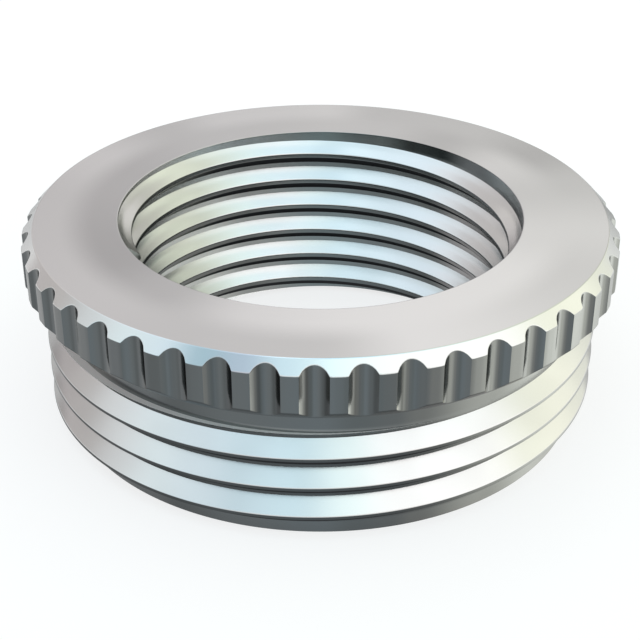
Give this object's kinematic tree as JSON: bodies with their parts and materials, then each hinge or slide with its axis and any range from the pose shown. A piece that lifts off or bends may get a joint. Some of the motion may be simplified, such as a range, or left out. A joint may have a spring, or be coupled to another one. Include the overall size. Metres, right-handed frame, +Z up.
{
  "type": "thread reducer",
  "caption": "Round metal reducer ring with a fluted grip collar, a coarse outside thread below it and a smaller inside thread through its bore.",
  "frame": {"origin": "centre of the bottom end, where the outside thread starts", "axes": "+Z up the ring's axis, out through the fluted collar; X and Y across the ring"},
  "size_m": [0.03, 0.03, 0.01],
  "materials": {
    "nickel_plate": "smooth bright nickel plating over turned brass"
  },
  "bodies": {
    "root": {"reducer_ring": "nickel_plate"}
  },
  "joints": []
}
